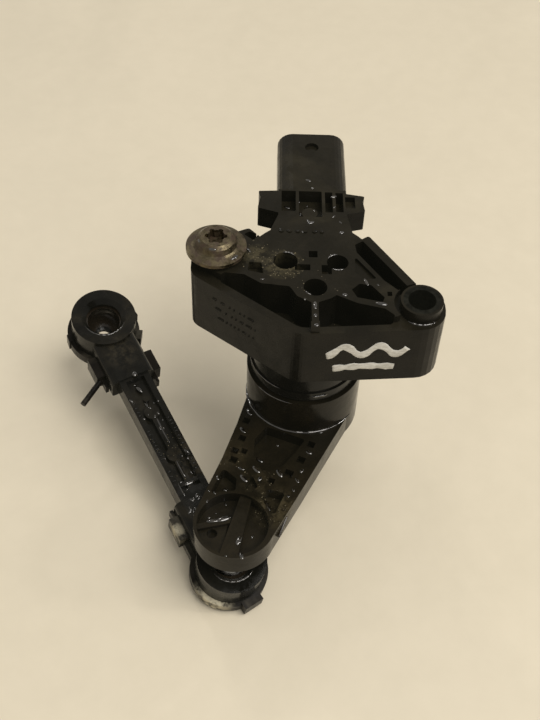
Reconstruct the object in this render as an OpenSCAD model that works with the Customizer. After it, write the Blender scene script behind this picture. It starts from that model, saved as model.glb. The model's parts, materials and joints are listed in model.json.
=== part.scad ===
// Suspension level sensor with its lever and ball-jointed link rod.
// Origin: on the shaft axis, in the plane of the lugs' lower faces.
// +Z runs along the shaft away from the lever, +Y towards the connector.

/* [Housing] */
// Height of the walls and lugs above the mounting plane
housing_height = 19; // [18:0.5:20]
// Thickness of the outer walls
wall = 2.1; // [1.4:0.1:2.2]
// Radius of the round body around the shaft
body_radius = 16.3; // [16:0.1:16.8]
// Depth of the open pockets in the top
pocket_depth = 9.5; // [6:0.5:9.5]
// Drop of the outer walls' tops below the plateau
rim_drop = 2; // [1:0.25:2.5]
// Radius of the electronics chamber
chamber_radius = 12.8; // [12.6:0.1:13.2]
// Height of the chamber above the mounting plane
chamber_height = 7.5; // [7.3:0.1:7.6]

/* [Mounting lugs] */
// Sideways place of the left lug's hole
left_lug_x = -22.9; // [-23.2:0.1:-22.6]
// Forward place of the left lug's hole
left_lug_y = 4.8; // [4.6:0.1:5]
// Sideways place of the right lug's hole
right_lug_x = 25.4; // [25.2:0.1:25.6]
// Forward place of the right lug's hole
right_lug_y = -10.9; // [-11.1:0.1:-10.7]
// Radius of the holes through the lug sleeves
sleeve_bore_radius = 3.25; // [3.2:0.05:3.4]
// Outer radius of the lug sleeves
sleeve_radius = 4.4; // [4.2:0.1:4.5]
// Radius of the mounting bolt's waisted shank, inside the sleeve
shank_radius = 2.65; // [2.5:0.05:2.7]
// Outer radius of the bolt's thread, below the mounting plane
thread_radius = 2.95; // [2.85:0.05:2.95]
// Length of the bolt below the mounting plane
bolt_reach = 6; // [4:0.5:8]

/* [Connector] */
// Width of the connector shroud
shroud_width = 18; // [17.6:0.2:18.4]
// Height of the connector shroud
shroud_height = 13; // [12.6:0.2:13.4]
// Distance of the shroud's open end from the shaft axis
shroud_end = 51.5; // [50:0.5:52]
// Depth of the plug cavity
plug_depth = 14; // [12:0.5:15]

/* [Shaft and bearing] */
// Radius of the shaft
shaft_radius = 4; // [3.9:0.05:4.1]
// Gap between the shaft and its bush, on the radius
running_gap = 0.04; // [0.02:0.01:0.08]
// Radius of the bearing skirt below the housing
skirt_radius = 13.8; // [13.4:0.1:14]
// Depth of the bearing skirt below the mounting plane
skirt_depth = 13.8; // [13.4:0.1:14]

/* [Lever] */
// Distance from the shaft axis to the ball stud
lever_length = 47; // [46:0.5:48]
// Direction of the lever at rest, from the +X axis
lever_angle = 247.5; // [240:0.5:255]
// Radius of the lever's hub
hub_radius = 15; // [14.8:0.1:15.2]
// Depth of the hub's upper face below the mounting plane
hub_top = 14.6; // [14.5:0.1:14.8]
// Depth of the arm's upper face below the mounting plane
arm_top = 26; // [25.5:0.5:26.5]
// Thickness of the arm
arm_thickness = 6.5; // [6.2:0.1:7]
// Depth of the pockets in the arm
arm_pocket_depth = 3.4; // [2:0.2:3.6]

/* [Link rod] */
// Distance between the two ball centres
link_length = 78.7; // [77:0.5:81]
// Direction of the link at rest, from the +X axis
link_yaw = 119.8; // [112:0.2:128]
// Rise of the link towards its far end at rest
link_rise = 12.5; // [8:0.5:14]
// Depth of the lever's ball centre below the mounting plane
ball_depth = 45.5; // [45:0.5:47]
// Radius of the ball
ball_radius = 5; // [4.95:0.01:5]
// Outer radius of the two ball sockets
eye_radius = 9; // [8.8:0.1:9.2]
// Width of the rod
rod_width = 8.8; // [8.6:0.1:9]

/* [Hidden] */
$fn = 64;
eps = 0.02;
lap = 0.5;

// Housing outline, each corner as x, y and rounding radius
right_side = 31.3;
front_corner = [-3.4, -19.9];
front_slope = 0.084;
left_side = -28.9;
lug_back = 10.9;

// Place of the front wall's outer face at a given x
function front_face(x) = front_corner.y + (x - front_corner.x) * front_slope;

housing_corners = [
    [left_side, -1, 4],
    [front_corner.x, front_corner.y, 6],
    [right_side, front_face(right_side), 6.4],
    [right_side, -6.8, 3.6],
    [24.9, -5, 0.4],
    [14.2, 11.7, 0.6],
    [12.2, 10.2, 0],
    [0, 6, 0],
    [-12.4, 10.4, 0],
    [-15.2, 13.4, 0.8],
    [-20.5, lug_back, 1],
    [left_side, lug_back, 5.8]
];
lug_boss_radius = 5.8;
lug_collar_radius = 5;
lug_collar_rise = 1.1;
lug_moat_radius = 6.4;
seat_height = housing_height + lug_collar_rise;
rim_height = housing_height - rim_drop;

// Lowered tops of the outer walls: plan outline of the band and the rib that crosses it
rim_width = 2.7;
rim_band = [
    [left_lug_x, left_lug_y], [-33, 6], [-33, -26], [36, -26], [36, -2], [26.4, -4],
    [right_lug_x, right_lug_y], [19.5, front_face(19.5) + rim_width],
    [front_corner.x + 0.8, front_corner.y + 1.03 * rim_width], [-26.2, 0.4]
];
front_rib = [-0.2, 1.4];

// Open pockets in the top, corners as x, y and rounding radius
pocket_floor = housing_height - pocket_depth;
left_pocket = [
    [-21.8, -3.4, 0.4], [front_corner.x + 0.3 * wall, front_corner.y + 1.03 * wall, 4],
    [front_rib[0], front_face(front_rib[0]) + wall, 0.3], [front_rib[0], -11.4, 0.3],
    [-3.5, -9.6, 1.6], [-5.2, -6.4, 1.2], [-12, -5.6, 0.6], [-16, -2.8, 0.6], [-20.7, -2.3, 0.4]
];
right_pocket = [
    [front_rib[1], front_face(front_rib[1]) + wall, 0.3], [18.2, front_face(18.2) + wall, 0.4], [19, -15, 0.4],
    [16.8, -12.9, 0.6], [10.4, -11.3, 0.8], [5.7, -8.9, 0.4], [4.4, -10, 0.8], [front_rib[1], -11.4, 0.3]
];
window_pocket = [
    [9.3, -7, 0.4], [11.2, -5, 0.5], [14, -5.4, 0.5], [16.9, -9.3, 0.4],
    [16.4, -10.8, 0.3], [10.5, -9.5, 0.4]
];
bar_pocket = [
    [10.7, 8.4, 0.3], [12.7, 9.8, 0.3], [22.6, -5.5, 0.3], [20.2, -6.8, 0.3], [17.1, -3.7, 0.8],
    [11, 5.7, 0.6]
];
back_pocket = [[-16.4, 11.2, 0.3], [-15.1, 12.2, 0.3], [-12.9, 11.2, 0.3], [-14, 9, 0.3]];
shelf_pocket = [[10.5, 4.2, 0.3], [15.4, -3.1, 0.3], [12.5, -3.5, 0.5], [10.4, -1.4, 0.5]];
side_pocket = [[-15.2, -1.4, 0.3], [-11.4, -2.4, 0.3], [-12, 1.3, 0.3], [-15, 1.5, 0.3]];
shelf_depth = 0.8;
side_depth = 2.4;

// Core holes in the plateau: x, y, radius
core_holes = [[0.8, -6.5, 2.8], [-6.2, 2.2, 2.9], [6.3, 2, 2.6]];
core_depth = 6;
core_slots = [[-0.6, 3.6, 2.1, 2.2], [-4, -0.9, 3.7, 2], [2.4, -2.1, 2.4, 3.1], [17.6, -8.8, 1.1, 1.4]];
slot_depth = 2.3;
// Row of small round dots behind the core holes
dot_places = [-7.2, -5.2, -3.2, -1.4, 0.9, 2.7];
dot_y = 12.7;
dot_radius = 0.55;
dot_rise = 0.25;

// Connector
connector_x = 0.8;
shroud_start = 28;
shroud_round = 4;
shroud_wall = 1.5;
shroud_z = housing_height - shroud_height / 2;
neck_bottom = 6;
neck_corners = [
    [-10.6, 11, 0], [-8, 18.8, 0.6], [-8, shroud_start + lap, 0],
    [9.2, shroud_start + lap, 0], [9.2, 18.8, 0.6], [10.6, 11, 0]
];
left_wing = [
    [-7, 28, 0], [-13.1, 27.6, 0.4], [-12.6, 25.2, 0.3], [-13.2, 21.2, 0.4], [-7, 19.2, 0]
];
right_wing = [
    [8.5, 27.4, 0], [13.9, 26.4, 0.4], [13.4, 24.2, 0.3], [13.8, 20.7, 0.4], [8.5, 19.2, 0]
];
wing_height = 6;
collar_pocket_floor = 15.4;
// Pockets of the collar: left, front, right and back edges
collar_pockets = [
    [-7.2, 20.2, -3.6, 27.9], [-2.8, 18.2, 3, 27.9], [3.8, 20, 5.7, 27.7], [6.5, 20.2, 8.4, 27.5]
];
wing_pocket = [8.9, 21.8, 11.4, 26];
wing_pocket_depth = 1.6;
collar_boss = [-0.1, 20.6, 2];
shroud_dimple = [0.8, 45.9, 1.8];
dimple_depth = 1;

// Terminals: two rows of three
pin_side = 0.64;
pin_pitch = 4;
pin_rows = [[11.3, shroud_z - 1.8], [9.5, shroud_z + 1.8]];
pin_end = 45;
pin_gap = 0.03;

// Electronics
board_bottom = 4.5;
board_thickness = 1.6;
board_radius = 12.4;
coil_thickness = 0.2;
post_radius = 1.2;
post_circle = 10.6;

// Bearing
cover_flange_radius = 14.4;
cover_flange = 1.8;
skirt_roof = 1;
clip_clearance_radius = 6.8;
skirt_foot = 2.6;
skirt_foot_radius = 14.2;
skirt_wall = 2.2;
bush_radius = 5.6;
bush_bottom = -9.6;
seal_radius = 7;
seal_height = 3;
bearing_tube_radius = 9;

// Lever
arm_bottom = -arm_top - arm_thickness;
arm_floor = -arm_top - arm_pocket_depth;
insert_radius = 7;
nut_flats = 13;
nut_height = 4;
nut_recess_radius = 9;
arm_end = [46, 0.7];
arm_end_radius = 10.1;
arm_outline = [
    [-2, -14.2, 0], [6, -12.8, 4], [18, -11.1, 4], [30, -10, 6], [46, -9.4, 0],
    [46, 10.8, 0], [31, 12.2, 8], [17.5, 13.3, 6], [-2, 14.9, 0]
];
// Pockets of the arm, along and across the arm, with rounding radius
arm_trough = [
    [16, -3.6, 0.8], [21, -4.8, 0.8], [26, -3, 0.8], [29.4, 0.9, 0.8],
    [26, 5, 0.8], [20.5, 6.4, 0.6], [15.8, 7.2, 0.6]
];
arm_side_pocket = [
    [32.6, -8.4, 0.8], [34.2, -4, 0.8], [37.6, -2.8, 0.8], [38.9, -5.6, 0.8], [41.2, -8.3, 0.6]
];
arm_lower_pocket = [
    [34, 4, 0.8], [33.2, 8.8, 0.8], [40.6, 8.8, 0.6], [37.8, 4.8, 0.8]
];
arm_centre_pocket = [[31.6, -0.8, 0.5], [34.2, 1.8, 0.4], [37.4, 0.6, 0.5], [35, -1.4, 0.4]];
// Small square pits of the arm: along, across and side length
arm_pits = [
    [29.2, -7.2, 2], [26.4, -8, 1.8], [22, -7.9, 1.8], [16.4, -9.2, 1.8], [25.6, -5.8, 1.6],
    [27.4, 7.3, 2.2], [22.2, 8.6, 2], [16.6, 9.2, 1.8], [31.2, 4.2, 1.6]
];
pit_depth = 2.2;
cup_radius = 8.8;
cup_place = [46.6, 0.5];
// Inside the cup: a broad spine, a flap off its left side and a raised step with a pit
cup_spine = [[37.2, -1.4, 0.3], [54.9, 0.8, 0.3], [56.4, 5.6, 0], [52.9, 4.9, 0.3], [37.6, 1.6, 0.3]];
cup_flap = [[44.3, -0.8, 0.3], [50.3, -8.4, 0], [51.4, -7.4, 0], [46.2, -0.4, 0.3]];
cup_step = [[46, -1, 0.3], [51.6, -8, 0], [58, -5, 0], [55.5, 1.2, 0.3]];
cup_step_height = 1.5;
cup_pit = [50.2, -3.4, 1.3];
cup_rib_drop = 0.9;

// Ball stud
stud_boss_radius = 5.6;
stud_boss = 2;
stud_shank_radius = 3;
stud_collar_radius = 4.8;
stud_collar = 1.4;
stud_neck_radius = 2.4;

// Sockets
liner_radius = 5.9;
liner_top = 2.3;
liner_bottom = -4.4;
socket_gap = 0.05;
eye_top = 4.9;
eye_bottom = -6.4;
throat_radius = 4.9;
throat_z = 3.7;
mouth_radius = 6.2;
drain_radius = 2;

// Rod
rod_half = 3;
neck_length = 20;
neck_width = 12.6;
channel_width = 5.4;
channel_depth = 2.1;
channel_ends = [22.6, 58];
rib_width = 1.6;
rod_bosses = [47, 33.2];
rod_boss_radius = 2.1;
rod_studs = [[51.6, -0.5, 0.9], [55.4, -0.2, 0.9]];
crossbar = 24.4;

// Clips
clip_thickness = 1.2;
clip_band_height = 3;
clip_band_bottom = -5.6;
clip_tab_reach = 1.8;
clip_tab_rise = 1;
clip_block = [6.6, 2.4, 5];
clip_nose = [2.6, 0.9, 3];
strut_length = 8.6;
strut_radius = 0.8;

function unit(v) = v / norm(v);
function xy(p) = [p[0], p[1]];
function turn_between(a, b) = (b - a + 540) % 360 - 180;
function arc_point(centre, radius, angle) = centre + radius * [cos(angle), sin(angle)];

// Points of a fillet of radius r at the corner b between a and c
function fillet(a, b, c, r, steps) =
    r == 0 ? [b] :
    let (
        to_a = unit(a - b),
        to_c = unit(c - b),
        half = acos(to_a * to_c) / 2,
        centre = b + unit(to_a + to_c) * r / sin(half),
        start = b + to_a * r / tan(half) - centre,
        end = b + to_c * r / tan(half) - centre,
        from = atan2(start.y, start.x),
        sweep = turn_between(from, atan2(end.y, end.x))
    )
    [for (i = [0:steps]) arc_point(centre, r, from + sweep * i / steps)];

// Outline through corners given as x, y and rounding radius
function rounded(corners, steps = 6) =
    let (n = len(corners))
    [for (i = [0:n - 1]) each fillet(
        xy(corners[(i + n - 1) % n]), xy(corners[i]), xy(corners[(i + 1) % n]),
        corners[i][2], steps)];

module prism(corners, bottom, top) {
    translate([0, 0, bottom])
        linear_extrude(top - bottom)
            polygon(rounded(corners));
}

module box_between(low, high) {
    translate(low)
        cube(high - low);
}

module rod_between(x, y, bottom, top, radius) {
    translate([x, y, bottom])
        cylinder(r = radius, h = top - bottom);
}

// Rounded rectangle across X and Z, run along Y
module rounded_bar(centre_x, centre_z, width, height, round, from_y, to_y) {
    corners = [
        [-width / 2, -height / 2, round], [width / 2, -height / 2, round],
        [width / 2, height / 2, round], [-width / 2, height / 2, round]
    ];
    translate([centre_x, to_y, centre_z])
        rotate([90, 0, 0])
            linear_extrude(to_y - from_y)
                polygon(rounded(corners));
}

// Moves a child into the lever's own frame: X along the arm
module on_lever() {
    rotate([0, 0, lever_angle])
        children();
}

// Moves a child into the link's own frame: X along the rod, Z out of the sockets
module on_link() {
    on_lever()
        translate([lever_length, 0, -ball_depth])
            rotate([0, 0, link_yaw - lever_angle])
                rotate([0, -link_rise, 0])
                    children();
}

// One L-shaped terminal: a leg up from the board and a blade along Y
module terminal(x, leg_y, blade_z, side) {
    half = side / 2;
    box_between([x - half, leg_y - half, board_bottom - 0.6], [x + half, leg_y + half, blade_z + half]);
    box_between([x - half, leg_y - half, blade_z - half], [x + half, pin_end, blade_z + half]);
}

module all_terminals(side) {
    for (row = pin_rows, i = [-1:1])
        terminal(connector_x + i * pin_pitch, row[0], row[1], side);
}

module housing_block() {
    prism(housing_corners, 0, housing_height);
    cylinder(r = body_radius, h = housing_height);
    rod_between(right_lug_x, right_lug_y, 0, housing_height, lug_boss_radius);
    prism(neck_corners, neck_bottom, housing_height);
    prism(left_wing, housing_height - wing_height, housing_height);
    prism(right_wing, housing_height - wing_height, housing_height);
    for (x = dot_places)
        rod_between(x, dot_y, housing_height - lap, housing_height + dot_rise, dot_radius);
    rounded_bar(connector_x, shroud_z, shroud_width, shroud_height, shroud_round,
        shroud_start, shroud_end);
}

// Cut that lowers the walls' tops and the ground around the right lug's collar
module rim_step() {
    over = housing_height + 1;
    translate([0, 0, rim_height])
        linear_extrude(over - rim_height)
            polygon(rim_band);
    rod_between(right_lug_x, right_lug_y, rim_height, over, lug_moat_radius);
}

module housing_mass() {
    difference() {
        housing_block();
        rim_step();
    }
    rod_between(left_lug_x, left_lug_y, rim_height - lap, seat_height, lug_collar_radius);
    rod_between(right_lug_x, right_lug_y, rim_height - lap, seat_height, lug_collar_radius);
    box_between([front_rib[0] - 0.2, front_face(0) + 0.4, rim_height - lap],
        [front_rib[1] + 0.2, -12, housing_height]);
}

module top_pockets() {
    over = housing_height + 1;
    for (corners = [left_pocket, right_pocket, window_pocket, bar_pocket, back_pocket])
        prism(corners, pocket_floor, over);
    prism(shelf_pocket, housing_height - shelf_depth, over);
    prism(side_pocket, housing_height - side_depth, over);
    for (hole = core_holes)
        rod_between(hole[0], hole[1], housing_height - core_depth, over, hole[2]);
    for (slot = core_slots)
        translate([slot[0], slot[1], housing_height - slot_depth])
            cube([slot[2], slot[3], slot_depth + 1]);
    for (p = collar_pockets)
        box_between([p[0], p[1], collar_pocket_floor], [p[2], p[3], over]);
    box_between([wing_pocket[0], wing_pocket[1], housing_height - wing_pocket_depth],
        [wing_pocket[2], wing_pocket[3], over]);
    rod_between(shroud_dimple[0], shroud_dimple[1], housing_height - dimple_depth, over, shroud_dimple[2]);
}

module housing_chamber() {
    rod_between(0, 0, -1, chamber_height, chamber_radius);
    rod_between(0, 0, -1, cover_flange, cover_flange_radius + eps);
    rounded_bar(connector_x, shroud_z, shroud_width - 2 * shroud_wall, shroud_height - 2 * shroud_wall,
        shroud_round - shroud_wall, shroud_end - plug_depth, shroud_end + 1);
    all_terminals(pin_side + 2 * pin_gap);
}

module housing() {
    color("#26221e") {
        difference() {
            housing_mass();
            top_pockets();
            housing_chamber();
            rod_between(left_lug_x, left_lug_y, -1, seat_height + 1, sleeve_radius);
            rod_between(right_lug_x, right_lug_y, -1, seat_height + 1, sleeve_radius);
        }
        rod_between(collar_boss[0], collar_boss[1], collar_pocket_floor - lap,
            housing_height - 1, collar_boss[2]);
        for (i = [0:2])
            rotate([0, 0, 30 + i * 120])
                rod_between(post_circle, 0, board_bottom + board_thickness,
                    chamber_height + lap, post_radius);
    }
}

// Disc in the housing's rebate, with the stepped skirt and bearing tube below it
module bottom_cover() {
    color("#2a2622")
        difference() {
            union() {
                rod_between(0, 0, 0, cover_flange, cover_flange_radius);
                rod_between(0, 0, -skirt_depth, lap, skirt_radius);
                rod_between(0, 0, -skirt_depth, skirt_foot - skirt_depth, skirt_foot_radius);
            }
            difference() {
                rod_between(0, 0, -skirt_depth - 1, -skirt_roof, skirt_radius - skirt_wall);
                rod_between(0, 0, -skirt_depth - 2, 0, bearing_tube_radius);
            }
            rod_between(0, 0, -skirt_depth - 1, seal_height - skirt_depth, seal_radius);
            rod_between(0, 0, -skirt_depth - 1, cover_flange + 1, bush_radius);
            rod_between(0, 0, 0, cover_flange + 1, clip_clearance_radius);
        }
}

module lug_sleeve(x, y) {
    color("#6d675c")
        translate([x, y, 0])
            difference() {
                cylinder(r = sleeve_radius, h = seat_height);
                translate([0, 0, -1])
                    cylinder(r = sleeve_bore_radius, h = seat_height + 2);
            }
}

module lug_sleeve_left() {
    lug_sleeve(left_lug_x, left_lug_y);
}

module lug_sleeve_right() {
    lug_sleeve(right_lug_x, right_lug_y);
}

// Flange bolt with a domed head, a six-lobed recess and a waisted shank
module mounting_bolt() {
    flange_radius = 7.3;
    flange_rim = 0.9;
    dome_rise = 3;
    dome_radius = 5.1;
    crown_radius = 3.7;
    recess_depth = 2.4;
    lobe_radius = 0.62;
    lobe_circle = 2.1;
    chamfer = 0.6;
    thread_start = 0.4;
    color("#5a5444")
        translate([left_lug_x, left_lug_y, seat_height])
            difference() {
                rotate_extrude()
                    polygon([
                        [0, -seat_height - bolt_reach],
                        [thread_radius - chamfer, -seat_height - bolt_reach],
                        [thread_radius, -seat_height - bolt_reach + chamfer],
                        [thread_radius, -seat_height - thread_start],
                        [shank_radius, -seat_height - thread_start],
                        [shank_radius, 0], [flange_radius, 0], [flange_radius, flange_rim],
                        [dome_radius + 0.4, flange_rim + 0.5], [dome_radius, flange_rim + 0.9],
                        [dome_radius - 0.5, flange_rim + 2.2], [crown_radius, flange_rim + dome_rise],
                        [0, flange_rim + dome_rise]
                    ]);
                translate([0, 0, flange_rim + dome_rise - recess_depth])
                    linear_extrude(recess_depth + 1) {
                        circle(r = lobe_circle);
                        for (i = [0:5])
                            rotate(i * 60)
                                translate([lobe_circle, 0])
                                    circle(r = lobe_radius);
                    }
            }
}

module circuit_board() {
    hole = pin_side + 0.3;
    color("#2f5a34")
        difference() {
            translate([0, 0, board_bottom])
                cylinder(r = board_radius, h = board_thickness);
            for (row = pin_rows, i = [-1:1])
                translate([connector_x + i * pin_pitch - hole / 2, row[0] - hole / 2, board_bottom - 1])
                    cube([hole, hole, board_thickness + 2]);
        }
}

// Flat winding on the board's lower face
module stator_coil() {
    inner = 4.6;
    outer = 8.6;
    color("#b06a3a")
        difference() {
            translate([0, 0, board_bottom - coil_thickness])
                cylinder(r = outer, h = coil_thickness);
            translate([0, 0, board_bottom - 1])
                cylinder(r = inner, h = 2);
        }
}

module board_components() {
    board_top = board_bottom + board_thickness;
    // Packages: x, y, length, width and height
    packages = [
        [-2.6, -2.2, 5.2, 4.4, 1.1], [-7.8, 2.2, 3.2, 2.6, 1], [4.8, 2.4, 3, 1.8, 1],
        [-6.4, -5.6, 2, 1.3, 0.8], [4.6, -5.8, 2, 1.3, 0.8], [-1, 4.8, 2, 1.3, 0.8]
    ];
    color("#1c1c1e")
        for (p = packages)
            translate([p[0], p[1], board_top])
                cube([p[2], p[3], p[4]]);
}

module terminal_pins() {
    color("#b79a55")
        all_terminals(pin_side);
}

module shaft_bush() {
    color("#8a7a52")
        difference() {
            translate([0, 0, bush_bottom])
                cylinder(r = bush_radius, h = -bush_bottom);
            translate([0, 0, bush_bottom - 1])
                cylinder(r = shaft_radius + running_gap, h = -bush_bottom + 2);
        }
}

module shaft_seal() {
    seal_bottom = -skirt_depth;
    lip_gap = 0.1;
    color("#161616")
        translate([0, 0, seal_bottom])
            difference() {
                cylinder(r = seal_radius, h = seal_height);
                translate([0, 0, -1])
                    cylinder(r = shaft_radius + lip_gap, h = seal_height + 2);
                translate([0, 0, -1])
                    cylinder(r = shaft_radius + 1.4, h = 2.2);
            }
}

module shaft() {
    shaft_top = 3.2;
    shaft_bottom = arm_bottom + 0.4;
    groove_bottom = 0.3;
    groove_height = 0.8;
    groove_radius = 3.4;
    color("#8f8f92")
        difference() {
            translate([0, 0, shaft_bottom])
                cylinder(r = shaft_radius, h = shaft_top - shaft_bottom);
            translate([0, 0, groove_bottom])
                difference() {
                    cylinder(r = shaft_radius + 1, h = groove_height);
                    translate([0, 0, -1])
                        cylinder(r = groove_radius, h = groove_height + 2);
                }
        }
}

// Open ring that sits in the shaft's groove above the bush
module retaining_clip() {
    clip_bottom = 0.35;
    clip_height = 0.7;
    outer = 6;
    inner = 3.45;
    mouth = 4.4;
    color("#a0a0a0")
        difference() {
            translate([0, 0, clip_bottom])
                cylinder(r = outer, h = clip_height);
            translate([0, 0, clip_bottom - 1])
                cylinder(r = inner, h = clip_height + 2);
            translate([0, -mouth / 2, clip_bottom - 1])
                cube([outer + 1, mouth, clip_height + 2]);
        }
}

module rotor_carrier() {
    carrier_bottom = 1.7;
    carrier_top = 3.3;
    disc_radius = 10;
    disc_bottom = 2.3;
    color("#d8d2c2")
        difference() {
            union() {
                translate([0, 0, carrier_bottom])
                    cylinder(r = shaft_radius + 2, h = carrier_top - carrier_bottom);
                translate([0, 0, disc_bottom])
                    cylinder(r = disc_radius, h = carrier_top - disc_bottom);
            }
            translate([0, 0, carrier_bottom - 1])
                cylinder(r = shaft_radius, h = 4);
        }
}

// Copper loop with three lobes that the winding above it senses
module rotor_loop() {
    loop_bottom = 3.3;
    loop_height = 0.3;
    outer = 9.4;
    inner = 7.6;
    lobe_start = 5;
    lobe_width = 3;
    color("#c07a45")
        translate([0, 0, loop_bottom]) {
            difference() {
                cylinder(r = outer, h = loop_height);
                translate([0, 0, -1])
                    cylinder(r = inner, h = 2);
            }
            for (i = [0:2])
                rotate([0, 0, i * 120])
                    translate([lobe_start, -lobe_width / 2, 0])
                        cube([inner + lap - lobe_start, lobe_width, loop_height]);
        }
}

module arm_solid() {
    prism(arm_outline, arm_bottom, -arm_top);
    rod_between(arm_end.x, arm_end.y, arm_bottom, -arm_top, arm_end_radius);
    rod_between(0, 0, arm_bottom, -hub_top, hub_radius);
    rod_between(lever_length, 0, arm_bottom - stud_boss, arm_bottom + lap, stud_boss_radius);
}

module arm_pockets() {
    over = -arm_top + 1;
    for (corners = [arm_trough, arm_side_pocket, arm_lower_pocket])
        prism(corners, arm_floor, over);
    prism(arm_centre_pocket, -arm_top - pit_depth, over);
    for (pit = arm_pits)
        translate([pit[0] - pit[2] / 2, pit[1] - pit[2] / 2, -arm_top - pit_depth])
            cube([pit[2], pit[2], pit_depth + 1]);
    rod_between(cup_place.x, cup_place.y, arm_floor, over, cup_radius);
}

module cup_ribs() {
    intersection() {
        rod_between(cup_place.x, cup_place.y, arm_floor - lap, -arm_top, cup_radius + 0.4);
        union() {
            prism(cup_spine, arm_floor - lap, -arm_top - cup_rib_drop);
            prism(cup_flap, arm_floor - lap, -arm_top - cup_rib_drop);
            difference() {
                prism(cup_step, arm_floor - lap, arm_floor + cup_step_height);
                rod_between(cup_pit[0], cup_pit[1], arm_floor, arm_floor + 2, cup_pit[2]);
            }
        }
    }
}

module lever_arm() {
    color("#24211d")
        on_lever() {
            difference() {
                arm_solid();
                arm_pockets();
                rod_between(0, 0, arm_bottom - 1, -hub_top + 1, insert_radius);
                rod_between(0, 0, arm_bottom - 1, arm_bottom + nut_height + 0.6, nut_recess_radius);
                rod_between(lever_length, 0, arm_bottom - stud_boss - 1, arm_bottom + 1.8,
                    stud_shank_radius);
            }
            cup_ribs();
        }
}

// Steel insert moulded into the hub and pressed on the shaft
module hub_insert() {
    insert_bottom = arm_bottom + nut_height + 0.6;
    color("#77736a")
        difference() {
            translate([0, 0, insert_bottom])
                cylinder(r = insert_radius, h = -hub_top - insert_bottom);
            translate([0, 0, insert_bottom - 1])
                cylinder(r = shaft_radius, h = arm_top);
        }
}

module hub_nut() {
    nut_bottom = arm_bottom + 0.6;
    color("#8c8a80")
        difference() {
            translate([0, 0, nut_bottom])
                cylinder(r = nut_flats / sqrt(3), h = nut_height, $fn = 6);
            translate([0, 0, nut_bottom - 1])
                cylinder(r = shaft_radius, h = nut_height + 2);
        }
}

module ball_stud() {
    boss_bottom = arm_bottom - stud_boss;
    color("#85837c")
        on_lever()
            translate([lever_length, 0, 0]) {
                translate([0, 0, -ball_depth])
                    sphere(r = ball_radius);
                rod_between(0, 0, -ball_depth, boss_bottom, stud_neck_radius);
                rod_between(0, 0, boss_bottom - stud_collar, boss_bottom, stud_collar_radius);
                rod_between(0, 0, boss_bottom - lap, arm_bottom + 1.8, stud_shank_radius);
            }
}

// Spherical cup that grips a ball and turns in its socket
module socket_liner() {
    color("#4a4438")
        difference() {
            intersection() {
                sphere(r = liner_radius);
                translate([0, 0, liner_bottom])
                    cylinder(r = liner_radius + 1, h = liner_top - liner_bottom);
            }
            sphere(r = ball_radius + socket_gap);
            translate([0, 0, liner_bottom - 1])
                cylinder(r = drain_radius, h = liner_top - liner_bottom);
        }
}

module near_socket_liner() {
    on_lever()
        translate([lever_length, 0, -ball_depth])
            socket_liner();
}

module far_socket_liner() {
    on_link()
        translate([link_length, 0, 0])
            socket_liner();
}

module eye_solid() {
    translate([0, 0, eye_bottom])
        cylinder(r = eye_radius, h = eye_top - eye_bottom);
}

// Space inside an eye: spherical seat, throat, flared mouth and drain
module eye_space() {
    sphere(r = liner_radius + socket_gap);
    rod_between(0, 0, 0, eye_top + 1, throat_radius);
    translate([0, 0, throat_z])
        cylinder(r1 = throat_radius, r2 = mouth_radius, h = eye_top - throat_z + eps);
    rod_between(0, 0, eye_bottom - 1, 0, drain_radius);
}

// Smooth shoulder between an eye and the rod, running along X
module rod_neck(from_x, to_x) {
    round = 2.6;
    corners = [
        [-neck_width / 2, -rod_half - 0.6, 0.8], [neck_width / 2, -rod_half - 0.6, 0.8],
        [neck_width / 2, rod_half + 0.8, round], [-neck_width / 2, rod_half + 0.8, round]
    ];
    translate([from_x, 0, 0])
        rotate([90, 0, 90])
            linear_extrude(to_x - from_x)
                polygon(rounded(corners));
}

module rod_channel(side) {
    floor_z = rod_half - channel_depth;
    mirror([0, 0, side < 0 ? 1 : 0])
        difference() {
            box_between([channel_ends[0], -channel_width / 2, floor_z],
                [channel_ends[1], channel_width / 2, rod_half + 1]);
            box_between([channel_ends[0] - 1, -rib_width / 2, floor_z - 1],
                [rod_bosses[0], rib_width / 2, rod_half - 0.5]);
            for (x = rod_bosses)
                rod_between(x, 0, floor_z - 1, rod_half - 0.3, rod_boss_radius);
            for (s = rod_studs)
                rod_between(s[0], s[1], floor_z - 1, floor_z + 1.1, s[2]);
            box_between([crossbar - 0.6, -channel_width, floor_z - 1],
                [crossbar + 0.6, channel_width, rod_half - 0.2]);
        }
}

module link_rod() {
    color("#201e1b")
        on_link()
            difference() {
                union() {
                    eye_solid();
                    translate([link_length, 0, 0])
                        eye_solid();
                    rod_neck(5, neck_length);
                    rod_neck(link_length - neck_length, link_length - 5);
                    box_between([neck_length - lap, -rod_width / 2, -rod_half],
                        [link_length - neck_length + lap, rod_width / 2, rod_half]);
                }
                eye_space();
                translate([link_length, 0, 0])
                    eye_space();
                rod_channel(1);
                rod_channel(-1);
            }
}

// Band around the lower part of an eye, open towards the rod.
// Each tab is its direction, width and reach beyond the eye.
module clip_band(tabs) {
    gap_half = neck_width / 2 + 0.1;
    outer = eye_radius + clip_thickness;
    translate([0, 0, clip_band_bottom]) {
        difference() {
            cylinder(r = outer, h = clip_band_height);
            translate([0, 0, -1])
                cylinder(r = eye_radius + eps, h = clip_band_height + 2);
            translate([0, -gap_half, -1])
                cube([outer + 1, 2 * gap_half, clip_band_height + 2]);
        }
        for (tab = tabs)
            rotate([0, 0, tab[0]])
                translate([eye_radius + 0.4, -tab[1] / 2, 0])
                    cube([tab[2] - 0.4, tab[1], clip_band_height + clip_tab_rise]);
    }
}

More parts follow.
